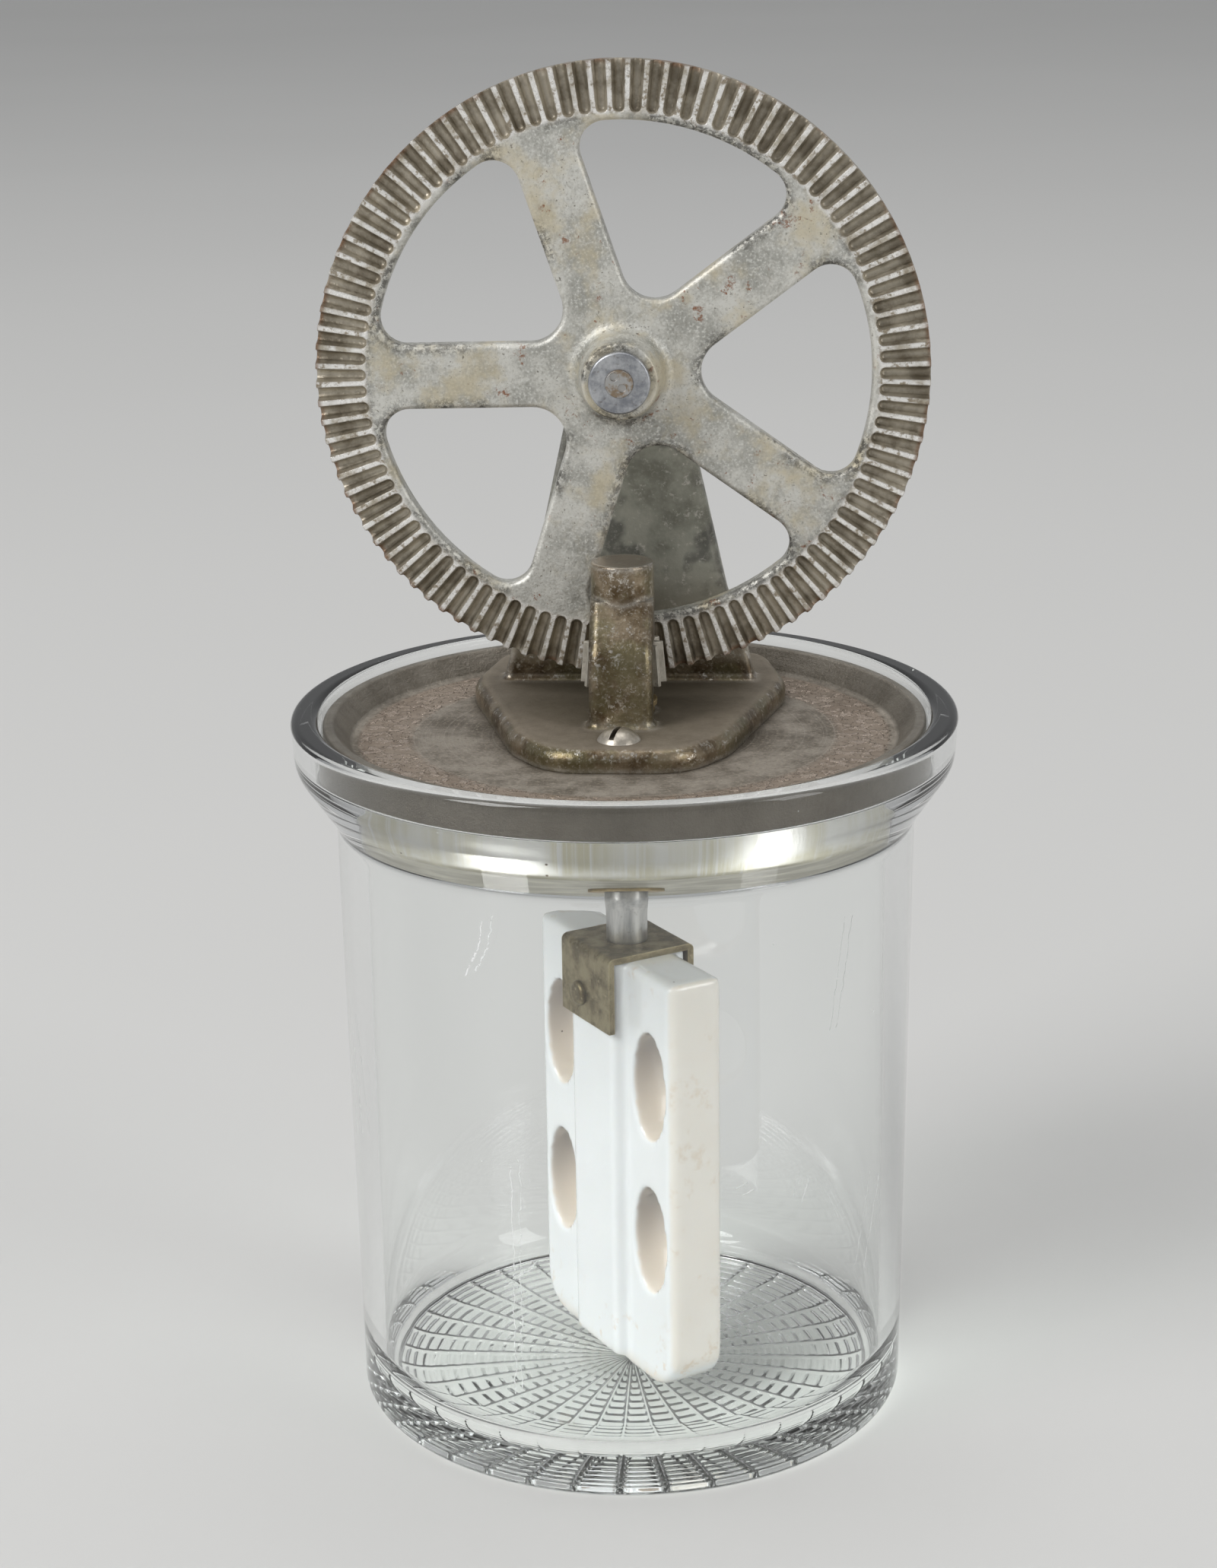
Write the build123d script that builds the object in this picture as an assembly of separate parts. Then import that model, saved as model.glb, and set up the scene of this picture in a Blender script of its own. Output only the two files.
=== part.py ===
from build123d import *
import math
import os

# Hand-cranked jar mixer: a glass jar, a lid with a cast gear frame, a large face gear
# that drives a small pinion, and a porcelain paddle on the pinion's shaft.
# Millimetres, +Z up. The origin is the centre of the jar's base, on the jar's axis.
# +Y points from the front post towards the rear bracket and the crank.

# ---- Clearances ----
RUN_GAP = 0.05  # radial gap of a shaft in its bearing
FACE_GAP = 0.4  # gap between faces that turn past each other
THRUST_GAP = 0.05  # gap at a face that carries end load
CUT = 1.0  # how far a cut runs on past the metal
EDGE_BREAK = 0.5  # rounding on small turned parts
HEAD_EDGE_R = 0.9  # rounding on pin and rivet heads

# ---- Glass jar ----
JAR_R = 59.6
JAR_H = 154.0
JAR_WALL = 4.8
JAR_FLOOR = 5.4
JAR_HEEL_R = 10.0
JAR_FOOT_R = 2.4
NECK_SPREAD = 1.6  # the side leans out by this much at the neck
NECK_DROP = 22.2  # from the rim's top to where the flare starts
NECK_BEND_R = 6.0
FLARE_W = 10.5  # rim beyond the jar's side
SHOULDER_IN = 0.7  # the flare's shoulder inside the rim's edge
SHOULDER_DROP = 10.0
SHOULDER_BEND_R = 7.0
LIP_EDGE_R = 2.0
RIM_LIP = 5.9
RIM_DEPTH = 8.5  # from the rim's top to the lid seat

# ---- Lid ----
LID_GAP = 0.8  # between the lid's edge and the rim's inner wall
LID_EDGE_H = 7.0
LID_FLOOR_T = 2.5
LID_BORDER = 2.2
LID_SLOPE = 3.8
SKIRT_H = 7.6
SKIRT_WALL = 1.0
SKIRT_GAP = 0.5

# ---- Gears, in modules of 1.27 mm, which is 20 teeth per inch of diameter ----
MODULE = 1.27
WHEEL_TEETH = 100
PINION_TEETH = 12
FACE_LEAD = 0.488  # wheel's face ahead of the pitch line
GULLET_DEPTH = 1.97
GULLET_DEPTH_IN = 1.26
GULLET_SHARE = 0.74  # of the tooth pitch
GULLET_ROOT = 0.55  # width at the root, as a share of the mouth
GULLET_ROOT_RISE = 0.4  # sides of the rounded root, as a share of its width
PINION_TOOTH_H = 1.97
PINION_TOOTH_TIP = 0.71
PINION_TOOTH_ROOT = 1.65
PINION_TIP_GAP = 0.5

# ---- Wheel ----
WHEEL_T = 5.0
TOOTH_RUNOUT = 1.9  # gullets run on past the pinion's end
RIM_LAND = 1.5  # between the gullets and the windows
SPOKES = 5
SPOKE_W = 13.4
SPOKE_ANGLE = 36.7
WINDOW_EYE_R = 7.0
WINDOW_CORNER_R = 5.5
WINDOW_EDGE_R = 1.2
HUB_R = 7.8
HUB_ROOT_R = 9.4
HUB_FRONT = 9.0  # ahead of the wheel's face
HUB_FILLET = 2.6
HUB_BACK = 9.0

# ---- Pinion ----
PINION_LEN = 8.6
PINION_HUB_H = 3.75
PINION_HUB_STEP = 0.3
PINION_PIN_R = 1.2

# ---- Gear frame casting ----
PLATE_T = 5.0
PLATE_EDGE_R = 3.0
PLATE_NOSE = (14.0, 29.5)  # half width, and how far ahead of the jar's axis
PLATE_CHEEK = (22.5, 17.0)
PLATE_SHOULDER = (34.6, 3.0)  # half width, and how far behind the bracket's face
PLATE_HEEL = (29.5, 27.0)
PLATE_CORNERS = (13.0, 20.0, 24.0, 8.0)  # radii, from nose to heel
POST_H = 16.5
POST_TIP = 4.2  # metal above the shaft's upper journal
LEG_W = 13.2
LEG_T = 4.7
LEG_GAP = 0.7  # leg to pinion
LEG_SHOULDER = 7.4  # depth of post above the leg's shoulder
LEG_FOOT_OUT = 0.6  # foot ahead of the knee
LEG_TOP_IN = 0.7  # shoulder's edge behind the post's front
LEG_KNEE_DROP = 0.5  # knee below the post's base
LEG_BEND_R = 9.0
LEG_EDGE_R = 2.0
BRACKET_T = 5.0
BRACKET_FOOT = 27.6
BRACKET_EYE_R = 10.0
BRACKET_EYE_TURN = math.radians(13)  # where the sides meet the eye, above its centre
BRACKET_KNEES = ((0.92, 0.11), (0.77, 0.29))  # shares of the foot's half width and of the rise
BRACKET_EDGE_R = 1.2
CASTING_ROOT_R = 1.6
BOSS_LEAD = 1.4  # bearing boss ahead of the bracket's face
BOSS_TAIL = 5.0  # and behind its back
SCREW_R = 2.1
SCREW_HEAD_R = 4.5
SCREW_HEAD_H = 2.7
SCREW_LEN = 11.0
SCREW_INSET = (7.6, 10.0)  # from the plate's front and back edges
SCREW_TURN = (68, 12)
SLOT_W = 1.1
SLOT_DEPTH = 1.7

# ---- Axle, crank and knob ----
AXLE_R = 4.0
SPIGOT_R = 2.85
SPIGOT_PROUD = 0.35
STAKE_R = 0.85
STAKE_DEPTH = 0.5
STAKE_MARKS = ((-1.1, 1.4), (0.6, -0.9))
WASHER_R = 6.35
WASHER_T = 1.9
SPACER_T = 0.55
SPACER_INSET = 1.0
SQUARE = 5.6
STUD_R = 2.5
KNOB_LIFT = 6.4  # knob's lowest edge above the gear frame's plate
CRANK_W = 12.0
CRANK_T = 3.6
CRANK_EDGE_R = 0.7
NUT_FLATS = 9.5
NUT_T = 4.0
STUD_PROUD = 1.2
KNOB_R = 8.5
KNOB_LEN = 31.0
KNOB_NECK = 0.62  # radii of the turned grip, as shares of its widest
KNOB_END_SHARE = 0.66
KNOB_BELLY = 0.68  # where it is widest, as a share of its length
KNOB_PIN_R = 2.4
KNOB_PIN_HEAD_R = 4.0
KNOB_PIN_HEAD_T = 1.6

# ---- Shaft and paddle ----
SHAFT_R = 4.45
JOURNAL_R = 3.2
BUSH_WALL = 1.9
BUSH_FLANGE_R = 7.8
BUSH_FLANGE_T = 0.8
BUSH_PROUD = 1.6
THRUST_T = 1.0
TENON_R = 2.6
PADDLE_ANGLE = -57.0
PADDLE_W = 56.4
PADDLE_T = 13.0
PADDLE_H = 94.6
PADDLE_GAP = 1.8  # above the jar's floor
SPINE_W = 19.4
SPINE_T = 18.2
SPINE_RISE = 2.0  # spine's end above the wings' ends
HOLE_W = 12.5
HOLE_H = 24.0
HOLE_X = 19.2
HOLE_RISE = 33.8  # lower holes' centres above the paddle's end
HOLE_PITCH = 35.5
PADDLE_CORNER_R = 9.0
PADDLE_EDGE_R = 1.6
SADDLE_SIDE = 0.5  # saddle's edge beyond the spine's side
SADDLE_T = 1.4
SADDLE_DROP = 15.6
RIVET_R = 1.5
RIVET_HEAD_R = 2.7
RIVET_HEAD_H = 1.1
RIVET_X = -2.4
RIVET_DROP = 9.9  # below the paddle's top

# ---- Places worked out from the sizes above ----
JAR_BORE_R = JAR_R - JAR_WALL
RIM_R = JAR_R + FLARE_W
SEAT_Z = JAR_H - RIM_DEPTH
LID_R = RIM_R - RIM_LIP - LID_GAP
LID_FLOOR_Z = SEAT_Z + LID_FLOOR_T
PLATE_Z = LID_FLOOR_Z + PLATE_T
SKIRT_R = JAR_BORE_R - SKIRT_GAP
SKIRT_Z = SEAT_Z - SKIRT_H
WHEEL_R = MODULE * WHEEL_TEETH / 2
PITCH_ANGLE = 360.0 / WHEEL_TEETH
FACE_Y = MODULE * (PINION_TEETH / 2 - FACE_LEAD)
TOOTH_LEN = PINION_LEN + TOOTH_RUNOUT
WINDOW_R = WHEEL_R - TOOTH_LEN - RIM_LAND
GULLET_SLOPE = MODULE * (GULLET_DEPTH - GULLET_DEPTH_IN) / TOOTH_LEN
BUSH_R = SHAFT_R + RUN_GAP + BUSH_WALL
BUSH_TOP = PLATE_Z + BUSH_PROUD
THRUST_Z = BUSH_TOP + THRUST_GAP
HUB_Z = THRUST_Z + THRUST_T
PINION_Z = HUB_Z + PINION_HUB_H
PINION_TOP = PINION_Z + PINION_LEN
PINION_TIP_R = FACE_Y + MODULE * GULLET_DEPTH - PINION_TIP_GAP
PINION_ROOT_R = PINION_TIP_R - MODULE * PINION_TOOTH_H
PINION_HUB_R = PINION_ROOT_R - PINION_HUB_STEP
WHEEL_Z = PINION_Z + WHEEL_R
POST_R = FACE_Y - FACE_GAP
POST_BASE = PINION_TOP + LEG_GAP
POST_TOP = POST_BASE + POST_H
LEG_BACK = PINION_TIP_R + LEG_GAP
LEG_FRONT = LEG_BACK + LEG_T
JOURNAL_Z = POST_BASE - 0.1
SHAFT_TOP = POST_TOP - POST_TIP
WHEEL_BACK = FACE_Y + WHEEL_T
HUB_FRONT_Y = FACE_Y - HUB_FRONT
HUB_BACK_Y = WHEEL_BACK + HUB_BACK
BOSS_FRONT = HUB_BACK_Y + SPACER_T + THRUST_GAP
BRACKET_Y = BOSS_FRONT + BOSS_LEAD
BOSS_BACK = BRACKET_Y + BRACKET_T + BOSS_TAIL
PLATE_BACK = BRACKET_Y + PLATE_HEEL[1]
SCREW_Y = (SCREW_INSET[0] - PLATE_NOSE[1], PLATE_BACK - SCREW_INSET[1])
CRANK_Y = BOSS_BACK + FACE_GAP
CRANK_BACK = CRANK_Y + CRANK_T
KNOB_Z = PLATE_Z + KNOB_LIFT + KNOB_R
CRANK_THROW = WHEEL_Z - KNOB_Z
KNOB_Y = CRANK_BACK + FACE_GAP
KNOB_END = KNOB_Y + KNOB_LEN
PADDLE_BASE = JAR_FLOOR + PADDLE_GAP
PADDLE_TOP = PADDLE_BASE + PADDLE_H
HOLE_Z = (PADDLE_BASE + HOLE_RISE, PADDLE_BASE + HOLE_RISE + HOLE_PITCH)
SADDLE_TOP = PADDLE_TOP + SADDLE_T
SADDLE_W = SPINE_W + 2 * SADDLE_SIDE
RIVET_Z = PADDLE_TOP - RIVET_DROP

UP = (Align.CENTER, Align.CENTER, Align.MIN)


def upright(radius, z0, z1, x=0.0, y=0.0):
    """A solid cylinder along Z."""
    return Pos(x, y, z0) * Cylinder(radius, z1 - z0, align=UP)


def crosswise(radius, y0, y1, x=0.0, z=0.0):
    """A solid cylinder along Y."""
    return Pos(x, y0, z) * Rot(-90, 0, 0) * Cylinder(radius, y1 - y0, align=UP)


def turned(face, along_y=False):
    """A face in the XY plane, x as radius, spun about its own y axis."""
    spun = revolve(face, Axis.Y)
    return spun if along_y else Rot(90, 0, 0) * spun


def rounded(face, corners):
    """Rounds the corners of a face; each is (x, y, radius)."""
    for x, y, radius in corners:
        nearest = face.vertices().sort_by_distance(Vector(x, y, 0))[0]
        face = fillet(nearest, radius)
    return face


def flat_edges(solid):
    """The edges that lie in a plane across Y."""
    return solid.edges().filter_by(lambda edge: edge.bounding_box().size.Y < 0.001)


def outline(points):
    return make_face(Polyline(*points, close=True))


def mirrored(half):
    """Closes a half outline, listed from front to back with x > 0, across the Y axis."""
    return half + [(-x, y) for x, y in reversed(half)]


# ---- Jar and lid ----


def glass_jar():
    neck = (JAR_R + NECK_SPREAD, JAR_H - NECK_DROP)
    shoulder = (RIM_R - SHOULDER_IN, JAR_H - SHOULDER_DROP)
    lip_r = RIM_R - RIM_LIP
    face = outline(
        [
            (0, 0),
            (JAR_R, 0),
            neck,
            shoulder,
            (RIM_R, JAR_H - LIP_EDGE_R),
            (RIM_R, JAR_H),
            (lip_r, JAR_H),
            (lip_r, SEAT_Z),
            (JAR_BORE_R, SEAT_Z),
            (JAR_BORE_R, JAR_FLOOR),
            (0, JAR_FLOOR),
        ]
    )
    face = rounded(
        face,
        [
            (JAR_R, 0, JAR_FOOT_R),
            (*neck, NECK_BEND_R),
            (*shoulder, SHOULDER_BEND_R),
            (RIM_R, JAR_H, LIP_EDGE_R - EDGE_BREAK),
            (lip_r, JAR_H, LIP_EDGE_R),
            (lip_r, SEAT_Z, 0.8),
            (JAR_BORE_R, SEAT_Z, 1.0),
            (JAR_BORE_R, JAR_FLOOR, JAR_HEEL_R),
        ],
    )
    return turned(face)


def lid_disc():
    edge_z = SEAT_Z + LID_EDGE_H
    inner = LID_R - LID_BORDER
    face = outline(
        [
            (BUSH_R, SEAT_Z),
            (LID_R, SEAT_Z),
            (LID_R, edge_z),
            (inner, edge_z),
            (inner - LID_SLOPE, LID_FLOOR_Z),
            (BUSH_R, LID_FLOOR_Z),
        ]
    )
    face = rounded(
        face, [(LID_R, edge_z, 0.9), (inner, edge_z, 0.8), (inner - LID_SLOPE, LID_FLOOR_Z, 1.5)]
    )
    disc = turned(face)
    for y in SCREW_Y:
        disc += upright(2.4 * SCREW_R, PLATE_Z - SCREW_LEN, SEAT_Z, y=y)
        disc -= upright(SCREW_R, PLATE_Z - SCREW_LEN, LID_FLOOR_Z, y=y)
    return disc


def lid_skirt():
    """A shallow pan under the lid that centres it in the jar's mouth."""
    inner = SKIRT_R - SKIRT_WALL
    face = outline(
        [
            (BUSH_R, SKIRT_Z),
            (SKIRT_R, SKIRT_Z),
            (SKIRT_R, SEAT_Z),
            (inner, SEAT_Z),
            (inner, SKIRT_Z + SKIRT_WALL),
            (BUSH_R, SKIRT_Z + SKIRT_WALL),
        ]
    )
    return turned(rounded(face, [(SKIRT_R, SKIRT_Z, 0.9 * SKIRT_WALL)]))


# ---- Gear frame ----


def base_plate():
    """A rounded shield, widest beside the bracket and narrow under the post."""
    half = [
        (PLATE_NOSE[0], -PLATE_NOSE[1]),
        (PLATE_CHEEK[0], -PLATE_CHEEK[1]),
        (PLATE_SHOULDER[0], BRACKET_Y + PLATE_SHOULDER[1]),
        (PLATE_HEEL[0], PLATE_BACK),
    ]
    face = outline(mirrored(half))
    for (x, y), radius in zip(half, PLATE_CORNERS):
        face = rounded(face, [(x, y, radius), (-x, y, radius)])
    plate = Pos(0, 0, LID_FLOOR_Z) * extrude(face, PLATE_T)
    top = plate.faces().sort_by(Axis.Z)[-1]
    return fillet(top.edges(), PLATE_EDGE_R)


def front_post():
    """An upright boss over the pinion, on a leg that comes down ahead of it."""
    shoulder = POST_TOP - LEG_SHOULDER
    knee_z = POST_BASE - LEG_KNEE_DROP
    side = outline(
        [
            (-LEG_BACK, LID_FLOOR_Z + 1.0),
            (-LEG_FRONT - LEG_FOOT_OUT, LID_FLOOR_Z + 1.0),
            (-LEG_FRONT, knee_z),
            (-POST_R + LEG_TOP_IN, shoulder),
            (0, shoulder),
            (0, POST_BASE),
            (-LEG_BACK, POST_BASE),
        ]
    )
    side = rounded(side, [(-LEG_FRONT, knee_z, LEG_BEND_R)])
    leg = Plane.YZ * extrude(side, LEG_W / 2, both=True)
    sides = leg.edges().filter_by(lambda edge: abs(edge.center().X) > LEG_W / 4)
    front = sides.filter_by(lambda edge: edge.center().Y < -LEG_BACK - 1 and edge.center().Z > PLATE_Z - 1)
    leg = fillet(front, LEG_EDGE_R)
    boss = upright(POST_R, POST_BASE, POST_TOP)
    rim = boss.edges().sort_by(Axis.Z)[-1]
    boss = fillet(rim, EDGE_BREAK)
    post = leg + boss
    post -= upright(JOURNAL_R + RUN_GAP, POST_BASE - CUT, SHAFT_TOP + FACE_GAP)
    return post


def rear_bracket():
    """A tapered upright plate whose round top carries the wheel's axle."""
    rise = WHEEL_Z - PLATE_Z
    eye = BRACKET_EYE_R
    half = [
        (BRACKET_FOOT, PLATE_Z - 1.0),
        *[(width * BRACKET_FOOT, PLATE_Z + height * rise) for width, height in BRACKET_KNEES],
        (eye * math.cos(BRACKET_EYE_TURN), WHEEL_Z + eye * math.sin(BRACKET_EYE_TURN)),
    ]
    face = outline(mirrored(half)) + Pos(0, WHEEL_Z) * Circle(eye)
    sheet = Pos(0, BRACKET_Y + BRACKET_T, 0) * Rot(90, 0, 0) * extrude(face, BRACKET_T)
    edges = sheet.edges().filter_by(lambda edge: edge.center().Z > PLATE_Z)
    sheet = fillet(edges.filter_by(lambda edge: abs(edge.center().Y - BRACKET_Y) < 0.01), BRACKET_EDGE_R)
    return sheet + crosswise(eye, BOSS_FRONT, BOSS_BACK, z=WHEEL_Z)


def frame_casting():
    casting = base_plate() + front_post() + rear_bracket()
    foot = casting.edges().filter_by(
        lambda edge: abs(edge.center().Z - PLATE_Z) < 0.02 and abs(edge.center().X) < BRACKET_FOOT - 1
    )
    inside = foot.filter_by(lambda edge: -LEG_FRONT - 2 < edge.center().Y < BRACKET_Y + BRACKET_T + 1)
    casting = fillet(inside.filter_by(GeomType.LINE), CASTING_ROOT_R)
    casting -= crosswise(AXLE_R + RUN_GAP, BOSS_FRONT - CUT, BOSS_BACK + CUT, z=WHEEL_Z)
    casting -= upright(BUSH_R, LID_FLOOR_Z - CUT, PLATE_Z + CUT)
    for y in SCREW_Y:
        casting -= upright(SCREW_R, LID_FLOOR_Z - CUT, PLATE_Z + CUT, y=y)
    return casting


def frame_screws():
    """Round-head slotted screws that hold the casting on the lid."""
    sphere_r = (SCREW_HEAD_R**2 + SCREW_HEAD_H**2) / (2 * SCREW_HEAD_H)
    screws = []
    for y, turn in zip(SCREW_Y, SCREW_TURN):
        ball = Pos(0, y, PLATE_Z + SCREW_HEAD_H - sphere_r) * Sphere(sphere_r)
        head = ball & upright(SCREW_HEAD_R, PLATE_Z, PLATE_Z + SCREW_HEAD_H, y=y)
        slot = Box(3 * SCREW_HEAD_R, SLOT_W, SLOT_DEPTH * 2)
        head -= Pos(0, y, PLATE_Z + SCREW_HEAD_H) * Rot(0, 0, turn) * slot
        screws.append(head + upright(SCREW_R, PLATE_Z - SCREW_LEN, PLATE_Z, y=y))
    return Compound(children=screws)


# ---- Wheel and crank ----


def gullet_face(radius, depth):
    """The gap between two teeth of the wheel, cut square to its length."""
    mouth = GULLET_SHARE * math.pi * radius / WHEEL_TEETH
    root = GULLET_ROOT * mouth
    side = depth - GULLET_ROOT_RISE * root
    left = Polyline((-root, side), (-mouth, 0), (-mouth, -CUT), (mouth, -CUT), (mouth, 0))
    right = Line((mouth, 0), (root, side))
    floor = ThreePointArc((root, side), (0, depth), (-root, side))
    return make_face(left + right + floor)


def gullet():
    """One tooth gap at the foot of the wheel, open at the rim and rounded at its inner end."""
    inner = WHEEL_R - TOOTH_LEN
    mouth_in = GULLET_SHARE * math.pi * inner / WHEEL_TEETH
    start = inner + mouth_in
    outer = WHEEL_R + CUT
    depth = MODULE * GULLET_DEPTH
    near = gullet_face(start, depth - GULLET_SLOPE * (WHEEL_R - start))
    far = gullet_face(outer, depth - GULLET_SLOPE * (WHEEL_R - outer))
    run = loft([Pos(0, FACE_Y, -start) * near, Pos(0, FACE_Y, -outer) * far], ruled=True)
    half = near & Pos(5, 0) * Rectangle(10, 20)
    end = Pos(0, FACE_Y, -start) * revolve(half, Axis.Y)
    return run + end


def windows():
    """The gaps between the spokes, as faces in the XY plane."""
    spokes = [Rot(0, 0, SPOKE_ANGLE + 360 / SPOKES * k) * Pos(WHEEL_R / 2, 0) for k in range(SPOKES)]
    gaps = Circle(WINDOW_R)
    for place in spokes:
        gaps -= place * Rectangle(WHEEL_R, SPOKE_W)
    done = []
    for face in gaps.faces():
        corners = face.vertices()
        eye = corners.sort_by_distance(Vector(0, 0, 0))[0]
        outer = [v for v in corners if v.distance_to(Vertex(0, 0, 0)) > WINDOW_R / 2]
        radii = [(eye.X, eye.Y, WINDOW_EYE_R)] + [(v.X, v.Y, WINDOW_CORNER_R) for v in outer]
        done.append(rounded(Sketch() + face, radii))
    return done


def gear_wheel():
    blank = outline(
        [
            (AXLE_R, HUB_FRONT_Y),
            (HUB_R, HUB_FRONT_Y),
            (HUB_ROOT_R, FACE_Y),
            (WHEEL_R, FACE_Y),
            (WHEEL_R, WHEEL_BACK),
            (HUB_ROOT_R, WHEEL_BACK),
            (HUB_ROOT_R, HUB_BACK_Y),
            (AXLE_R, HUB_BACK_Y),
        ]
    )
    blank = rounded(
        blank,
        [
            (HUB_R, HUB_FRONT_Y, 0.8),
            (HUB_ROOT_R, FACE_Y, HUB_FILLET),
            (HUB_ROOT_R, WHEEL_BACK, HUB_FILLET),
            (WHEEL_R, WHEEL_BACK, 0.8),
        ],
    )
    wheel = turned(blank, along_y=True)
    for face in windows():
        wheel -= Pos(0, WHEEL_BACK + CUT, 0) * Rot(90, 0, 0) * extrude(face, WHEEL_T + 2 * CUT)
    for plane_y in (FACE_Y, WHEEL_BACK):
        rims = flat_edges(wheel).filter_by(lambda edge: abs(edge.center().Y - plane_y) < 0.001)
        rims = rims.filter_by(lambda edge: edge.length < WHEEL_R and edge.center().length > HUB_ROOT_R)
        wheel = fillet(rims, WINDOW_EDGE_R)
    tool = gullet()
    wheel -= [Rot(0, PITCH_ANGLE * k, 0) * tool for k in range(WHEEL_TEETH)]
    return Pos(0, 0, WHEEL_Z) * wheel


def wheel_axle():
    axle = crosswise(AXLE_R, HUB_FRONT_Y, BOSS_BACK + FACE_GAP / 2, z=WHEEL_Z)
    tip = HUB_FRONT_Y - WASHER_T - SPIGOT_PROUD
    axle += crosswise(SPIGOT_R, tip, HUB_FRONT_Y, z=WHEEL_Z)
    square_from = BOSS_BACK + FACE_GAP / 2
    square_len = CRANK_BACK - square_from
    axle += Pos(0, square_from + square_len / 2, WHEEL_Z) * Box(SQUARE, square_len, SQUARE)
    axle += crosswise(STUD_R, CRANK_BACK, CRANK_BACK + NUT_T + STUD_PROUD, z=WHEEL_Z)
    for x, z in STAKE_MARKS:
        axle -= crosswise(STAKE_R, tip - CUT, tip + STAKE_DEPTH, x=x, z=WHEEL_Z + z)
    return axle


def hub_washer():
    front = HUB_FRONT_Y - WASHER_T
    disc = crosswise(WASHER_R, front, HUB_FRONT_Y, z=WHEEL_Z)
    edge = disc.edges().sort_by(Axis.Y)[0]
    return fillet(edge, EDGE_BREAK) - crosswise(SPIGOT_R, front - 1, HUB_FRONT_Y, z=WHEEL_Z)


def spacer_washer():
    disc = crosswise(HUB_ROOT_R - SPACER_INSET, HUB_BACK_Y, HUB_BACK_Y + SPACER_T, z=WHEEL_Z)
    return disc - crosswise(AXLE_R, HUB_BACK_Y - CUT, BOSS_FRONT, z=WHEEL_Z)


def crank_arm():
    mid = WHEEL_Z - CRANK_THROW / 2
    bar = extrude(SlotCenterToCenter(CRANK_THROW, CRANK_W), CRANK_T)
    arm = Pos(0, CRANK_BACK, mid) * Rot(90, 0, 0) * Rot(0, 0, 90) * bar
    arm = fillet(flat_edges(arm), CRANK_EDGE_R)
    arm -= Pos(0, CRANK_Y + CRANK_T / 2, WHEEL_Z) * Box(SQUARE, CRANK_T + 2 * CUT, SQUARE)
    return arm - crosswise(KNOB_PIN_R, CRANK_Y - CUT, CRANK_BACK + CUT, z=KNOB_Z)


def crank_nut():
    flats = RegularPolygon(NUT_FLATS / 2, 6, major_radius=False)
    nut = Pos(0, CRANK_BACK + NUT_T, WHEEL_Z) * Rot(90, 0, 0) * extrude(flats, NUT_T)
    return nut - crosswise(STUD_R, CRANK_BACK - CUT, CRANK_BACK + NUT_T + CUT, z=WHEEL_Z)


def knob_pin():
    pin = crosswise(KNOB_PIN_R, CRANK_Y, KNOB_END + FACE_GAP, z=KNOB_Z)
    head = crosswise(KNOB_PIN_HEAD_R, KNOB_END + FACE_GAP, KNOB_END + FACE_GAP + KNOB_PIN_HEAD_T, z=KNOB_Z)
    return pin + fillet(head.edges().sort_by(Axis.Y)[-1], HEAD_EDGE_R)


def crank_knob():
    """A turned wooden grip, loose on its pin."""
    bore = KNOB_PIN_R + RUN_GAP
    neck = KNOB_NECK * KNOB_R
    end = KNOB_END_SHARE * KNOB_R
    curve = Spline(
        (neck, 0),
        (neck + 0.08 * KNOB_R, 0.2 * KNOB_LEN),
        (KNOB_R, KNOB_BELLY * KNOB_LEN),
        (end, KNOB_LEN),
    )
    rest = Polyline((end, KNOB_LEN), (bore, KNOB_LEN), (bore, 0), (neck, 0))
    return Pos(0, KNOB_Y, KNOB_Z) * turned(make_face(curve + rest), along_y=True)


# ---- Pinion, shaft and paddle ----


def pinion_face(scale_by):
    """The pinion's outline, with straight-sided teeth, shrunk about its axis."""
    tip_half = MODULE * PINION_TOOTH_TIP / 2
    root_half = MODULE * PINION_TOOTH_ROOT / 2
    points = []
    for k in range(PINION_TEETH):
        turn = math.radians(90 + 360 / PINION_TEETH * k)
        for radius, half in (
            (PINION_ROOT_R, root_half),
            (PINION_TIP_R, tip_half),
            (PINION_TIP_R, -tip_half),
            (PINION_ROOT_R, -root_half),
        ):
            x = radius * math.cos(turn) + half * math.sin(turn)
            y = radius * math.sin(turn) - half * math.cos(turn)
            points.append((x * scale_by, y * scale_by))
    return outline(points)


def pinion():
    top_scale = 1 - GULLET_SLOPE * PINION_LEN / PINION_TIP_R
    low = Pos(0, 0, PINION_Z) * pinion_face(1.0)
    high = Pos(0, 0, PINION_TOP) * pinion_face(top_scale)
    teeth = loft([low, high], ruled=True)
    hub = upright(PINION_HUB_R, HUB_Z, PINION_Z)
    return teeth + hub - upright(SHAFT_R, HUB_Z - CUT, PINION_TOP + CUT) - pinion_pin()


def pinion_pin():
    z = (HUB_Z + PINION_Z) / 2
    return Pos(-PINION_HUB_R, 0, z) * Rot(0, 90, 0) * Cylinder(PINION_PIN_R, 2 * PINION_HUB_R, align=UP)


def dasher_shaft():
    shaft = upright(SHAFT_R, SADDLE_TOP, JOURNAL_Z) + upright(JOURNAL_R, JOURNAL_Z, SHAFT_TOP)
    shaft += upright(TENON_R, PADDLE_TOP, SADDLE_TOP)
    return shaft - pinion_pin()


def shaft_bushing():
    bush = upright(BUSH_R, SKIRT_Z, BUSH_TOP)
    bush += upright(BUSH_FLANGE_R, SKIRT_Z - BUSH_FLANGE_T, SKIRT_Z)
    return bush - upright(SHAFT_R + RUN_GAP, SKIRT_Z - BUSH_FLANGE_T - CUT, BUSH_TOP + CUT)


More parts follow.
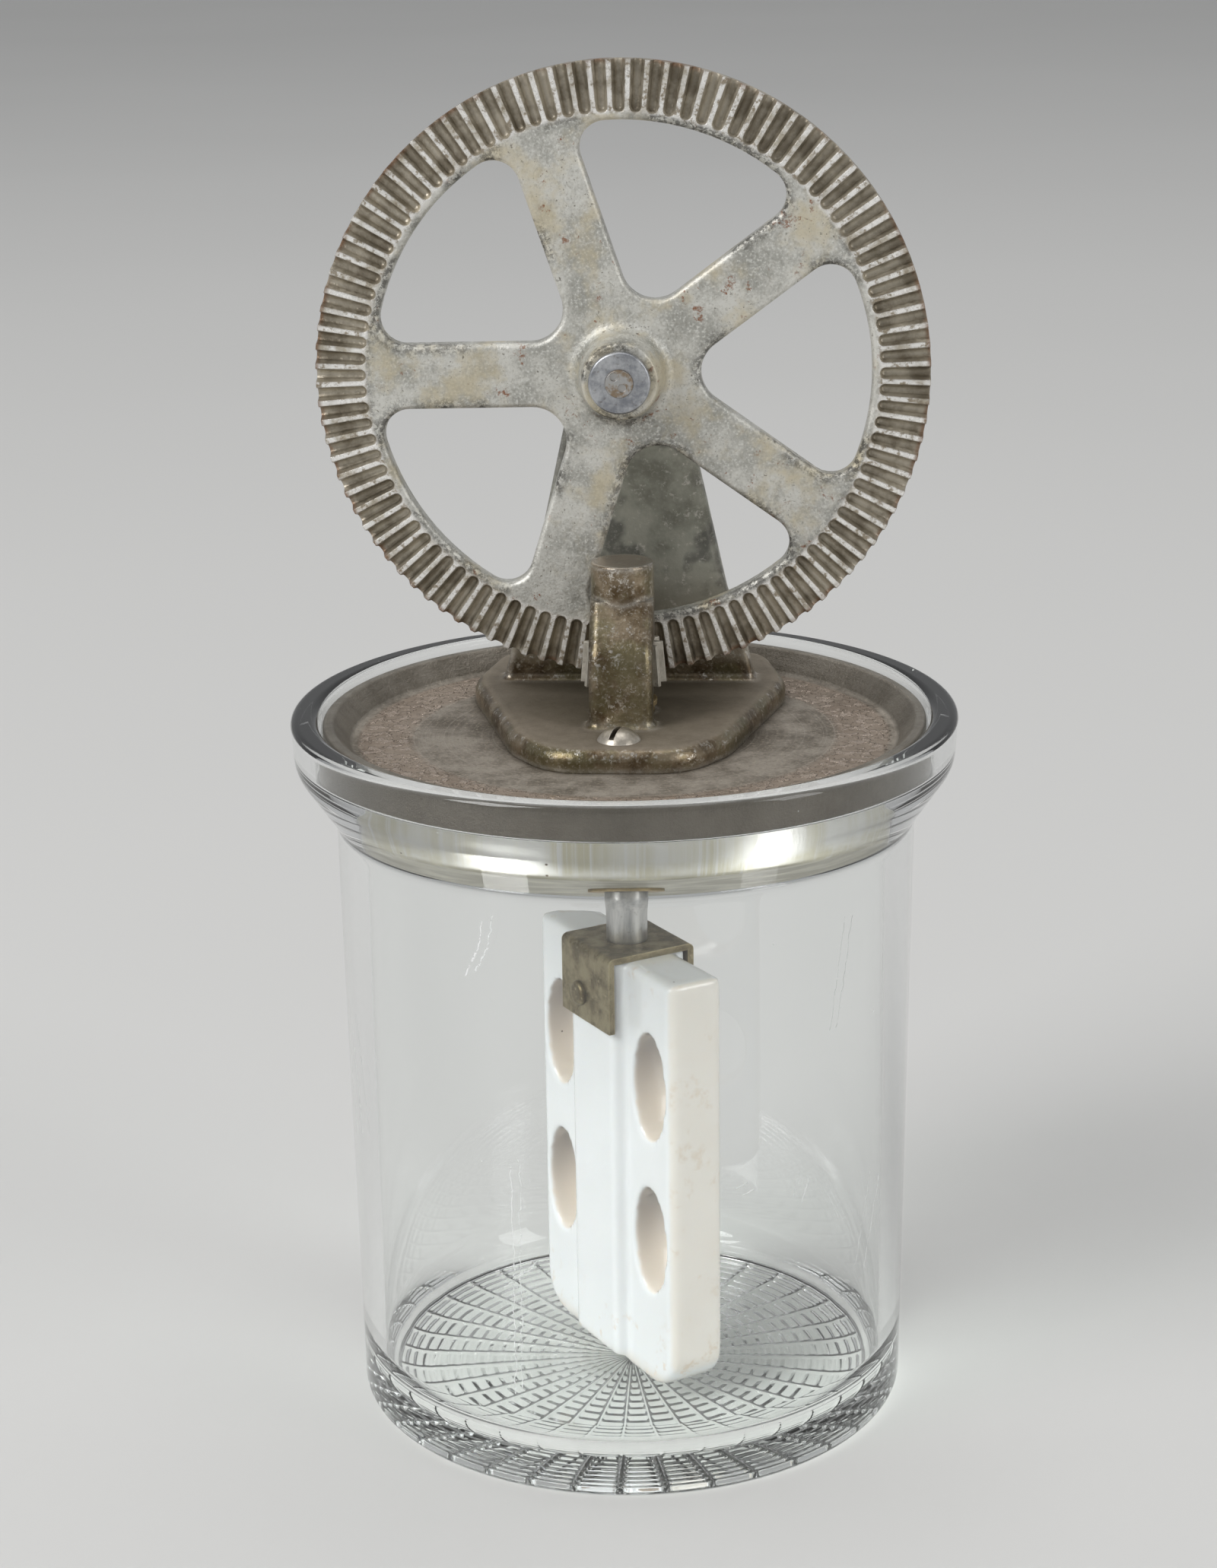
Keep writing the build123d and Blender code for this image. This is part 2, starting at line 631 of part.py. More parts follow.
def thrust_washer():
    ring = upright(PINION_HUB_R + 0.8, THRUST_Z, HUB_Z)
    return ring - upright(SHAFT_R, THRUST_Z - CUT, HUB_Z + CUT)


def paddle_wings():
    """The flat slab of the paddle with its four oval holes, across X."""
    height = PADDLE_TOP - PADDLE_BASE
    mid = (PADDLE_TOP + PADDLE_BASE) / 2
    face = Pos(0, mid) * Rectangle(PADDLE_W, height)
    half = PADDLE_W / 2
    face = rounded(face, [(x, PADDLE_BASE, PADDLE_CORNER_R) for x in (-half, half)])
    slab = Rot(90, 0, 0) * extrude(face, PADDLE_T / 2, both=True)
    slab = fillet(flat_edges(slab), PADDLE_EDGE_R)
    hole = Rot(90, 0, 0) * extrude(Ellipse(HOLE_W / 2, HOLE_H / 2), PADDLE_T, both=True)
    for x in (-HOLE_X, HOLE_X):
        for z in HOLE_Z:
            slab -= Pos(x, 0, z) * hole
    return slab


def porcelain_paddle():
    spine_base = PADDLE_BASE + SPINE_RISE
    spine_mid = (spine_base + PADDLE_TOP) / 2
    spine = Pos(0, 0, spine_mid) * Box(SPINE_W, SPINE_T, PADDLE_TOP - spine_base)
    spine = fillet(spine.edges().filter_by(Axis.Z), PADDLE_EDGE_R)
    arch = Pos(0, 0, PADDLE_BASE) * Box(SPINE_W - 2, SPINE_T + CUT, 2 * SPINE_RISE)
    body = paddle_wings() - arch + spine
    body -= crosswise(RIVET_R + RUN_GAP, -SPINE_T, SPINE_T, x=RIVET_X, z=RIVET_Z)
    return Rot(0, 0, PADDLE_ANGLE) * body


def dasher_saddle():
    """A bent brass strap over the paddle's spine, riveted to the shaft's tenon."""
    outer_t = SPINE_T + 2 * SADDLE_T
    base = PADDLE_TOP - SADDLE_DROP
    strap = Pos(0, 0, (base + SADDLE_TOP) / 2) * Box(SADDLE_W, outer_t, SADDLE_TOP - base)
    strap = fillet(strap.edges().filter_by(Axis.X).sort_by(Axis.Z)[-2:], SADDLE_T)
    strap -= Pos(0, 0, base) * Box(SADDLE_W + 2 * CUT, SPINE_T, 2 * (PADDLE_TOP - base))
    strap -= upright(TENON_R, PADDLE_TOP - CUT, SADDLE_TOP + CUT)
    strap -= crosswise(RIVET_R, -SPINE_T, SPINE_T, x=RIVET_X, z=RIVET_Z)
    return Rot(0, 0, PADDLE_ANGLE) * strap


def saddle_rivet():
    face_y = SPINE_T / 2 + SADDLE_T
    rivet = crosswise(RIVET_R, -face_y, face_y, x=RIVET_X, z=RIVET_Z)
    for sign in (-1, 1):
        start, end = sorted((sign * face_y, sign * (face_y + RIVET_HEAD_H)))
        head = crosswise(RIVET_HEAD_R, start, end, x=RIVET_X, z=RIVET_Z)
        outer = head.edges().sort_by(lambda edge: -sign * edge.center().Y)[0]
        rivet += fillet(outer, HEAD_EDGE_R)
    return Rot(0, 0, PADDLE_ANGLE) * rivet


PIECES = [
    glass_jar,
    lid_disc,
    lid_skirt,
    frame_casting,
    frame_screws,
    shaft_bushing,
    gear_wheel,
    wheel_axle,
    hub_washer,
    spacer_washer,
    crank_arm,
    crank_nut,
    knob_pin,
    crank_knob,
    pinion,
    pinion_pin,
    thrust_washer,
    dasher_shaft,
    dasher_saddle,
    saddle_rivet,
    porcelain_paddle,
]

os.makedirs("parts", exist_ok=True)
for make in PIECES:
    piece = make()
    export_step(piece, f"parts/{make.__name__}.step")
    print(make.__name__, round(piece.volume, 1))
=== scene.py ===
"""The looks of a hand-cranked jar mixer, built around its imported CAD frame. Metres, +Z up."""

import math

import bmesh
import bpy
from mathutils import Matrix, Vector


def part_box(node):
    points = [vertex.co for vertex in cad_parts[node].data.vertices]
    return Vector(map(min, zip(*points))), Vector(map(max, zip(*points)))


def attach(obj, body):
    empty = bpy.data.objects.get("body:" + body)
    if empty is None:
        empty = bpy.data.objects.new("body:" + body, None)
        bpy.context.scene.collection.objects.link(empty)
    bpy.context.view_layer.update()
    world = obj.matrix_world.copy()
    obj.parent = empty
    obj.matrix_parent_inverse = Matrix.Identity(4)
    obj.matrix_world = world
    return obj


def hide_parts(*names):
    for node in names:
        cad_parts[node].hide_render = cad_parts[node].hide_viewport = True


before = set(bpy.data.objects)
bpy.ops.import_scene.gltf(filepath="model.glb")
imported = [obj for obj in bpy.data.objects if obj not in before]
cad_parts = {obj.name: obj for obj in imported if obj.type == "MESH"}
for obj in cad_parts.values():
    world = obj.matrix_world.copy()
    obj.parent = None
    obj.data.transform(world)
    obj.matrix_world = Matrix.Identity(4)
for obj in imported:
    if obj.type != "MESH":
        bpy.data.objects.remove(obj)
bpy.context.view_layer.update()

MM = 0.001

# ---- Places read from the frame ----
WHEEL_LOW, WHEEL_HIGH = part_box("gear_wheel")
WHEEL_R = (WHEEL_HIGH.x - WHEEL_LOW.x) / 2
WHEEL_Z = (WHEEL_HIGH.z + WHEEL_LOW.z) / 2
HUB_FRONT = 9.0 * MM  # the hub's front ahead of the wheel's face
FACE_Y = WHEEL_LOW.y + HUB_FRONT
TOOTH_LEN = 10.5 * MM
TOOTH_R = WHEEL_R - TOOTH_LEN
WASHER_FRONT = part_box("hub_washer")[0].y
BUSH_PROUD = 1.6 * MM  # the bushing's top above the plate
PLATE_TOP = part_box("shaft_bushing")[1].z - BUSH_PROUD
SHAFT_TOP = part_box("dasher_shaft")[1].z
PADDLE_LOW, PADDLE_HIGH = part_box("porcelain_paddle")
BRACKET_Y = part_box("spacer_washer")[1].y

# ---- The jar's glass ----
RIM_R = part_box("glass_jar")[1].x
JAR_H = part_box("glass_jar")[1].z
FLARE_W = 10.5 * MM
JAR_R = RIM_R - FLARE_W
JAR_WALL = 4.8 * MM
BORE_R = JAR_R - JAR_WALL
FLOOR_Z = 5.4 * MM
NECK_SPREAD = 1.6 * MM
NECK_DROP = 22.2 * MM
NECK = (JAR_R + NECK_SPREAD, JAR_H - NECK_DROP)
SHOULDER_IN = 0.7 * MM
SHOULDER_DROP = 10.0 * MM
SHOULDER = (RIM_R - SHOULDER_IN, JAR_H - SHOULDER_DROP)
LIP_W = 5.9 * MM
RIM_DEPTH = 8.5 * MM
SEAT_Z = JAR_H - RIM_DEPTH

# Corner radii, in the order of the section
FOOT_R = 2.4 * MM
NECK_BEND_R = 6.0 * MM
SHOULDER_BEND_R = 7.0 * MM
RIM_EDGE_R = 1.5 * MM
LIP_EDGE_R = 2.0 * MM
SEAT_OUTER_R = 0.8 * MM
SEAT_INNER_R = 1.0 * MM
HEEL_R = 10.0 * MM

# Points of the section
FILLET_STEPS = 8
GUARD = 0.15 * MM  # from a fillet's end to the close point beside it
LONGEST_STEP = 12.0 * MM
FLOOR_STEPS = 6
FLOOR_RING_R = 4.0 * MM  # innermost ring on the floor

# ---- The pattern pressed under the jar's base ----
RAYS = 36
RAY_DEPTH = 0.7 * MM
RAY_WIDTH = 0.75 * MM
RAY_STEPS = (-5.0, -3.9, -2.8, -1.8, -1.1, -0.55, 0.0, 0.55, 1.1, 1.8, 2.8, 3.9)  # degrees off a ray
RING_PITCH = 3.0 * MM
RING_DEPTH = 0.55 * MM
ROWS_PER_RING = 4
EDGE_FADE = 1.5 * MM
CENTRE_FADE = 5.0 * MM

# ---- The paddle ----
PADDLE_ANGLE = math.radians(-57)
PADDLE_HALF_W = 28.2 * MM
HOLE_X = 19.2 * MM
HOLE_W = 12.5 * MM
HOLE_H = 24.0 * MM
HOLE_RISE = (33.8 * MM, 69.3 * MM)
VOXEL = 0.7 * MM

# ---- The camera, solved from the ellipses of the jar and the wheel ----
EYE = (0.03285, -0.6268, 0.3340)
TURN = math.radians(-3.32)
TILT = math.radians(17.45)
ROLL = math.radians(-0.81)
LENS = 71.18


# ---- Material building ----


class Finish:
    """One material's node tree, built by short calls that return sockets."""

    def __init__(self, name):
        self.material = bpy.data.materials.new(name)
        self.material.use_nodes = True
        self.tree = self.material.node_tree
        self.shader = self.tree.nodes["Principled BSDF"]
        self.place = self.add("ShaderNodeTexCoord").outputs["Object"]
        split = self.add("ShaderNodeSeparateXYZ")
        self.join(self.place, split.inputs[0])
        self.x, self.y, self.z = split.outputs
        geometry = self.add("ShaderNodeNewGeometry")
        self.normal = geometry.outputs["Normal"]

    def add(self, kind, **settings):
        node = self.tree.nodes.new(kind)
        for key, value in settings.items():
            setattr(node, key, value)
        return node

    def join(self, value, socket):
        if isinstance(value, bpy.types.NodeSocket):
            self.tree.links.new(value, socket)
        elif isinstance(value, tuple) and socket.type == "RGBA":
            socket.default_value = (*value[:3], 1.0)
        else:
            socket.default_value = value

    def math(self, operation, a, b=0.0):
        node = self.add("ShaderNodeMath", operation=operation)
        self.join(a, node.inputs[0])
        self.join(b, node.inputs[1])
        return node.outputs[0]

    def ramp(self, value, low, high, to_low=0.0, to_high=1.0):
        """A smooth step of value from low to high."""
        node = self.add("ShaderNodeMapRange", interpolation_type="SMOOTHSTEP")
        for socket, number in zip(node.inputs, (value, low, high, to_low, to_high)):
            self.join(number, socket)
        return node.outputs[0]

    def both(self, *masks):
        """The product: 1 where every mask is."""
        product = masks[0]
        for mask in masks[1:]:
            product = self.math("MULTIPLY", product, mask)
        return product

    def either(self, *masks):
        """The strongest of the masks."""
        most = masks[0]
        for mask in masks[1:]:
            most = self.math("MAXIMUM", most, mask)
        return most

    def mix(self, factor, a, b):
        """A mix of two colours."""
        node = self.add("ShaderNodeMix", data_type="RGBA")
        self.join(factor, node.inputs[0])
        self.join(a, node.inputs[6])
        self.join(b, node.inputs[7])
        return node.outputs[2]

    def level(self, factor, a, b):
        """A mix of two numbers."""
        node = self.add("ShaderNodeMix", data_type="FLOAT")
        self.join(factor, node.inputs[0])
        self.join(a, node.inputs[2])
        self.join(b, node.inputs[3])
        return node.outputs[0]

    def stretched(self, scale, shift, source=None):
        node = self.add("ShaderNodeMapping")
        self.join(source or self.place, node.inputs["Vector"])
        node.inputs["Scale"].default_value = scale
        node.inputs["Location"].default_value = shift
        return node.outputs[0]

    def noise(self, size, detail=4.0, roughness=0.6, stretch=(1, 1, 1), shift=0.0, source=None):
        """Noise from 0 to 1 whose blotches are about size metres wide."""
        node = self.add("ShaderNodeTexNoise")
        self.join(self.stretched(stretch, (shift, shift, shift), source), node.inputs["Vector"])
        node.inputs["Scale"].default_value = 1.0 / size
        node.inputs["Detail"].default_value = detail
        node.inputs["Roughness"].default_value = roughness
        return node.outputs["Fac"]

    def specks(self, size, radius, share=0.5):
        """Round specks, about one in each cell of the given size, on that share of the cells."""
        node = self.add("ShaderNodeTexVoronoi")
        self.join(self.place, node.inputs["Vector"])
        node.inputs["Scale"].default_value = 1.0 / size
        near = self.ramp(node.outputs["Distance"], 0.6 * radius / size, radius / size, 1.0, 0.0)
        pick = self.add("ShaderNodeSeparateColor")
        self.join(node.outputs["Color"], pick.inputs[0])
        return self.both(near, self.math("LESS_THAN", pick.outputs[0], share))

    def radius_from(self, a, b, centre_a=0.0, centre_b=0.0):
        """The distance from a centre, over two coordinates."""
        da = self.math("SUBTRACT", a, centre_a)
        db = self.math("SUBTRACT", b, centre_b)
        return self.math("SQRT", self.math("ADD", self.both(da, da), self.both(db, db)))

    def bevel(self, radius):
        node = self.add("ShaderNodeBevel", samples=4)
        node.inputs["Radius"].default_value = radius
        return node.outputs[0]

    def edges(self, radius, low=0.02, high=0.2):
        """1 along sharp edges, over a band about as wide as radius."""
        dot = self.add("ShaderNodeVectorMath", operation="DOT_PRODUCT")
        self.join(self.bevel(radius), dot.inputs[0])
        self.join(self.normal, dot.inputs[1])
        return self.ramp(self.math("SUBTRACT", 1.0, dot.outputs["Value"]), low, high)

    def hollows(self, distance, low=0.35, high=0.95):
        """1 deep in corners and recesses, 0 in the open."""
        node = self.add("ShaderNodeAmbientOcclusion", samples=6)
        node.inputs["Distance"].default_value = distance
        return self.ramp(node.outputs["AO"], low, high, 1.0, 0.0)

    def facing(self, axis, low, high):
        """1 where the surface looks along an axis, by its normal's share of it."""
        node = self.add("ShaderNodeSeparateXYZ")
        self.join(self.normal, node.inputs[0])
        return self.ramp(node.outputs[axis], low, high)

    def bump(self, height, distance, strength=1.0, normal=None):
        node = self.add("ShaderNodeBump")
        node.inputs["Distance"].default_value = distance
        node.inputs["Strength"].default_value = strength
        self.join(height, node.inputs["Height"])
        if normal is not None:
            self.join(normal, node.inputs["Normal"])
        return node.outputs[0]

    def done(self, **sockets):
        """Sets the shader's sockets by name, with _ for a space."""
        for key, value in sockets.items():
            self.join(value, self.shader.inputs[key.replace("_", " ")])
        return self.material


def paint(material, *nodes):
    """Puts a material on CAD nodes, in every slot they have."""
    for name in nodes:
        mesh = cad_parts[name].data
        if not mesh.materials:
            mesh.materials.append(material)
        for index in range(len(mesh.materials)):
            mesh.materials[index] = material


# ---- Finishes ----


def tinned_casting():
    """The wheel: a light, rough tin coat on cast iron, with brown gullets, darker deep down as painted
    shade, and worn crests whose lightest tone is a painted highlight.
    """
    f = Finish("tinned_casting")
    radius = f.radius_from(f.x, f.z, 0.0, WHEEL_Z)
    depth = f.math("SUBTRACT", f.y, FACE_Y)
    in_teeth = f.ramp(radius, TOOTH_R - 0.6 * MM, TOOTH_R + 0.6 * MM)
    on_front = f.ramp(depth, 0.05 * MM, 0.3 * MM, 1.0, 0.0)

    cloud = f.noise(9 * MM, 5, 0.65)
    grain = f.noise(0.55 * MM, 3, 0.7)
    coat = f.mix(f.ramp(cloud, 0.35, 0.65), (0.40, 0.395, 0.36), (0.68, 0.67, 0.62))
    coat = f.mix(f.ramp(grain, 0.5, 0.68), coat, (0.70, 0.695, 0.65))
    coat = f.mix(f.both(f.ramp(grain, 0.36, 0.46, 1.0, 0.0), 0.32), coat, (0.24, 0.225, 0.18))
    ochre = f.ramp(f.noise(15 * MM, 4, 0.7, shift=3.1), 0.47, 0.66)
    coat = f.mix(f.both(ochre, f.level(grain, 0.5, 1.0), 0.85), coat, (0.56, 0.485, 0.32))
    pits = f.both(f.ramp(f.noise(1.0 * MM, 3, 0.75, shift=7.7), 0.61, 0.66), f.ramp(cloud, 0.46, 0.58))
    coat = f.mix(f.both(pits, 0.75), coat, (0.09, 0.075, 0.05))
    rust = f.both(f.ramp(f.noise(5 * MM, 5, 0.8, shift=11.3), 0.61, 0.68), grain, 1.7)
    coat = f.mix(rust, coat, (0.24, 0.10, 0.045))

    edge = f.edges(1.7 * MM, 0.015, 0.16)
    margin = f.edges(4.0 * MM, 0.002, 0.04)
    patchy = f.ramp(f.noise(16 * MM, 2, 0.5, shift=5.2), 0.44, 0.54)
    crumbs = f.ramp(f.noise(1.3 * MM, 4, 0.8, shift=1.9), 0.46, 0.52)
    black = f.both(margin, crumbs, patchy)
    bright = f.both(edge, f.math("SUBTRACT", 1.0, patchy))
    brown = f.both(edge, patchy)
    coat = f.mix(f.both(brown, 0.5), coat, (0.20, 0.15, 0.09))
    coat = f.mix(f.both(bright, 0.95), coat, (0.95, 0.93, 0.88))
    coat = f.mix(f.both(black, 0.92), coat, (0.028, 0.025, 0.02))

    tarnish = f.noise(6 * MM, 4, 0.65, shift=2.4)
    valley = f.mix(f.ramp(tarnish, 0.35, 0.65), (0.25, 0.215, 0.16), (0.50, 0.455, 0.37))
    # Painted shade deep in the gullets.
    valley = f.mix(f.both(f.hollows(2.2 * MM, 0.1, 0.42), 0.8), valley, (0.05, 0.036, 0.024))
    # The crests: worn tin, and their lightest tone is a painted highlight.
    crest = f.mix(f.ramp(tarnish, 0.32, 0.55), (0.48, 0.435, 0.35), (0.90, 0.885, 0.85))
    crest = f.mix(f.ramp(f.noise(1.5 * MM, 3, 0.7, shift=6.6), 0.5, 0.66), crest, (0.34, 0.29, 0.22))
    flank = f.edges(0.5 * MM, 0.02, 0.2)
    crest = f.mix(f.both(flank, 0.55), crest, (0.30, 0.265, 0.205))
    teeth = f.mix(on_front, valley, crest)
    rim_rust = f.both(f.ramp(radius, WHEEL_R - 1.2 * MM, WHEEL_R - 0.2 * MM), f.ramp(cloud, 0.42, 0.6))
    teeth = f.mix(f.both(rim_rust, 0.8), teeth, (0.22, 0.12, 0.065))
    colour = f.mix(in_teeth, coat, teeth)

    shiny = f.either(f.both(bright, 0.8), f.both(in_teeth, f.level(on_front, 0.55, 1.0)))
    rough = f.level(shiny, f.level(grain, 0.38, 0.58), 0.24)
    height = f.math("ADD", f.both(grain, 0.5), f.noise(2.2 * MM, 3, 0.65, shift=4.4))
    normal = f.bump(height, 0.2 * MM, 0.9, f.bevel(0.3 * MM))
    metal = f.level(f.either(black, rust, f.both(ochre, 0.5)), 0.66, 0.3)
    return f.done(Base_Color=colour, Roughness=rough, Metallic=metal, Normal=normal)


def bronzed_casting():
    """The gear frame: brown patina, a dusty plate, and worn silver edges."""
    f = Finish("bronzed_casting")
    cloud = f.noise(8 * MM, 5, 0.65)
    grain = f.noise(0.8 * MM, 4, 0.7)
    olive = f.ramp(f.noise(10 * MM, 3, 0.6, shift=12.0), 0.45, 0.6)
    patina = f.mix(f.ramp(cloud, 0.38, 0.62), (0.10, 0.068, 0.036), (0.30, 0.24, 0.165))
    patina = f.mix(f.both(olive, 0.6), patina, (0.20, 0.18, 0.10))
    patina = f.mix(f.both(f.ramp(grain, 0.52, 0.7), 0.7), patina, (0.46, 0.42, 0.35))

    behind = f.ramp(f.y, BRACKET_Y - 2 * MM, BRACKET_Y)
    above_plate = f.ramp(f.z, PLATE_TOP + 3 * MM, PLATE_TOP + 7 * MM)
    on_bracket = f.both(behind, above_plate)
    haze = f.ramp(f.noise(14 * MM, 4, 0.6, shift=2.0), 0.35, 0.6)
    dull = f.mix(haze, (0.25, 0.25, 0.205), (0.50, 0.50, 0.43))
    smudge = f.ramp(f.noise(11 * MM, 3, 0.6, shift=8.3), 0.48, 0.62)
    dull = f.mix(f.both(smudge, 0.75), dull, (0.12, 0.12, 0.11))
    foot = f.ramp(f.z, PLATE_TOP + 6 * MM, PLATE_TOP + 30 * MM, 1.0, 0.0)
    dull = f.mix(f.both(foot, 0.6), dull, (0.27, 0.205, 0.13))
    dull = f.mix(f.both(f.ramp(grain, 0.5, 0.7), 0.5), dull, (0.50, 0.49, 0.42))
    colour = f.mix(on_bracket, patina, dull)

    upward = f.facing("Z", 0.75, 0.97)
    plate = f.ramp(f.z, PLATE_TOP + 1 * MM, PLATE_TOP + 3 * MM, 1.0, 0.0)
    dust = f.both(upward, plate)
    dusty = f.mix(f.noise(4 * MM, 5, 0.75, shift=4.0), (0.12, 0.095, 0.065), (0.33, 0.285, 0.225))
    colour = f.mix(f.both(dust, 0.9), colour, dusty)
    shade = f.both(dust, f.hollows(22 * MM, 0.5, 1.0))
    colour = f.mix(f.both(shade, 0.75), colour, (0.07, 0.058, 0.036))
    top = f.both(upward, f.ramp(f.z, SHAFT_TOP + 3 * MM, SHAFT_TOP + 4 * MM))
    colour = f.mix(f.both(top, 0.85), colour, (0.50, 0.43, 0.37))

    patches = f.ramp(f.noise(3.5 * MM, 5, 0.75, shift=6.0), 0.42, 0.58)
    worn = f.both(f.edges(2.6 * MM, 0.02, 0.18), f.level(patches, 0.45, 1.0))
    flecks = f.both(f.ramp(f.noise(2.4 * MM, 5, 0.8, shift=14.0), 0.56, 0.66), f.math("SUBTRACT", 1.0, dust))
    colour = f.mix(f.either(f.both(worn, 0.9), f.both(flecks, 0.6)), colour, (0.80, 0.77, 0.71))
    # Painted shade, in patches, deep in corners and recesses.
    recess_shade = f.both(f.hollows(3 * MM, 0.3, 0.8), f.ramp(cloud, 0.2, 0.55))
    colour = f.mix(f.both(recess_shade, 0.8), colour, (0.045, 0.034, 0.02))

    gloss = f.level(f.either(worn, flecks), f.level(grain, 0.24, 0.4), 0.2)
    rough = f.level(f.either(f.both(dust, 0.9), f.both(on_bracket, 0.6)), gloss, 0.72)
    metal = f.level(f.either(dust, recess_shade, f.both(on_bracket, 0.7)), 0.92, 0.3)
    height = f.math("ADD", f.both(grain, 0.4), f.noise(3.2 * MM, 3, 0.6, shift=1.0))
    normal = f.bump(height, 0.2 * MM, 0.9, f.bevel(0.5 * MM))
    return f.done(Base_Color=colour, Roughness=rough, Metallic=metal, Normal=normal)


def cast_lid():
    """The lid: a dusty taupe floor with a pebbled, coppery band inside a smoother border."""
    f = Finish("cast_lid")
    radius = f.radius_from(f.x, f.y)
    cloud = f.noise(12 * MM, 5, 0.7)
    grain = f.noise(0.8 * MM, 5, 0.75)
    around = f.add("ShaderNodeCombineXYZ")
    f.join(radius, around.inputs[0])
    brushed = f.noise(0.8 * MM, 3, 0.6, source=around.outputs[0])
    dust = f.mix(f.ramp(cloud, 0.35, 0.65), (0.15, 0.128, 0.10), (0.37, 0.33, 0.28))
    dust = f.mix(f.both(f.ramp(brushed, 0.52, 0.66), 0.45), dust, (0.46, 0.425, 0.375))
    dust = f.mix(f.both(f.ramp(grain, 0.5, 0.66), 0.7), dust, (0.47, 0.41, 0.33))
    dust = f.mix(f.both(f.ramp(grain, 0.34, 0.44, 1.0, 0.0), 0.6), dust, (0.11, 0.085, 0.055))
    lid_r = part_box("lid_disc")[1].x
    band = f.both(
        f.ramp(radius, lid_r - 20 * MM, lid_r - 17 * MM),
        f.ramp(radius, lid_r - 8 * MM, lid_r - 7 * MM, 1.0, 0.0),
    )
    copper = f.mix(f.noise(4 * MM, 3, 0.6, shift=3.0), (0.21, 0.16, 0.12), (0.46, 0.36, 0.285))
    dust = f.mix(f.both(band, 0.65), dust, copper)
    pebbles = f.both(band, f.ramp(f.noise(2.6 * MM, 2, 0.6, shift=5.0), 0.48, 0.54))
    glints = f.both(pebbles, f.ramp(f.noise(1.3 * MM, 3, 0.7, shift=8.0), 0.46, 0.54))
    colour = f.mix(f.both(glints, 0.85), dust, (0.82, 0.68, 0.57))
    border = f.ramp(radius, lid_r - 6.5 * MM, lid_r - 5.5 * MM)
    colour = f.mix(f.both(border, 0.65), colour, f.mix(cloud, (0.15, 0.13, 0.10), (0.42, 0.39, 0.335)))
    worn = f.both(f.edges(1.2 * MM, 0.03, 0.25), f.ramp(f.noise(5 * MM, 4, 0.7, shift=2.0), 0.4, 0.6))
    colour = f.mix(f.both(worn, 0.8), colour, (0.74, 0.69, 0.61))
    # Painted shade in the lid's grooves and recesses.
    dark = f.hollows(7 * MM, 0.35, 0.9)
    colour = f.mix(f.both(dark, 0.7), colour, (0.05, 0.038, 0.022))
    rough = f.level(f.either(glints, worn, f.both(border, 0.6)), f.level(grain, 0.5, 0.75), 0.22)
    metal = f.level(f.either(glints, worn, border), 0.4, 0.9)
    height = f.math("ADD", f.both(grain, 0.5), f.math("ADD", f.both(brushed, 0.3), f.both(pebbles, 1.8)))
    normal = f.bump(height, 0.5 * MM, 1.0, f.bevel(0.3 * MM))
    return f.done(Base_Color=colour, Roughness=rough, Metallic=metal, Normal=normal)


def spun_tin():
    """The pan inside the jar's neck: bright, faintly yellow tin with upright scouring marks."""
    f = Finish("spun_tin")
    low, high = (corner.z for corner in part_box("lid_skirt"))
    streaks = f.noise(1.1 * MM, 5, 0.7, stretch=(1, 1, 0.03))
    blotch = f.noise(14 * MM, 4, 0.6, shift=3.0)
    colour = f.mix(f.ramp(blotch, 0.35, 0.62), (0.76, 0.72, 0.55), (0.95, 0.94, 0.89))
    colour = f.mix(f.ramp(streaks, 0.45, 0.7), colour, (0.93, 0.92, 0.88))
    brim = f.either(f.ramp(f.z, low, low + 1.6 * MM, 1.0, 0.0), f.ramp(f.z, high - 1.8 * MM, high))
    colour = f.mix(f.both(brim, f.ramp(blotch, 0.3, 0.6), 0.8), colour, (0.30, 0.26, 0.13))
    spots = f.specks(4 * MM, 0.35 * MM, 0.3)
    colour = f.mix(f.both(spots, 0.9), colour, (0.14, 0.10, 0.05))
    rough = f.level(streaks, 0.26, 0.46)
    normal = f.bump(streaks, 0.04 * MM, 0.8)
    return f.done(Base_Color=colour, Roughness=rough, Metallic=0.7, Normal=normal)


def plated(name, dark, light, rough, streak=(1, 1, 1), freckle=0.35):
    """A small turned or stamped part: plated or bare, with freckles of tarnish."""
    f = Finish(name)
    cloud = f.noise(3 * MM, 5, 0.7, stretch=streak)
    grain = f.noise(0.5 * MM, 4, 0.7, stretch=streak, shift=2.0)
    colour = f.mix(f.ramp(cloud, 0.3, 0.7), dark, light)
    tarnish = f.ramp(f.noise(1.4 * MM, 4, 0.75, shift=9.0), 0.58, 0.7)
    colour = f.mix(f.both(tarnish, freckle), colour, (0.12, 0.085, 0.05))
    worn = f.edges(0.5 * MM, 0.04, 0.3)
    colour = f.mix(f.both(worn, 0.5), colour, tuple(min(1.0, 1.35 * c) for c in light))
    # Painted shade in corners and recesses.
    recess_shade = f.hollows(1.6 * MM, 0.3, 0.8)
    colour = f.mix(f.both(recess_shade, 0.8), colour, (0.04, 0.03, 0.02))
    roughness = f.level(f.both(grain, 0.6), rough, rough + 0.3)
    normal = f.bump(grain, 0.05 * MM, 0.6, f.bevel(0.2 * MM))
    return f.done(Base_Color=colour, Roughness=roughness, Metallic=0.9, Normal=normal)


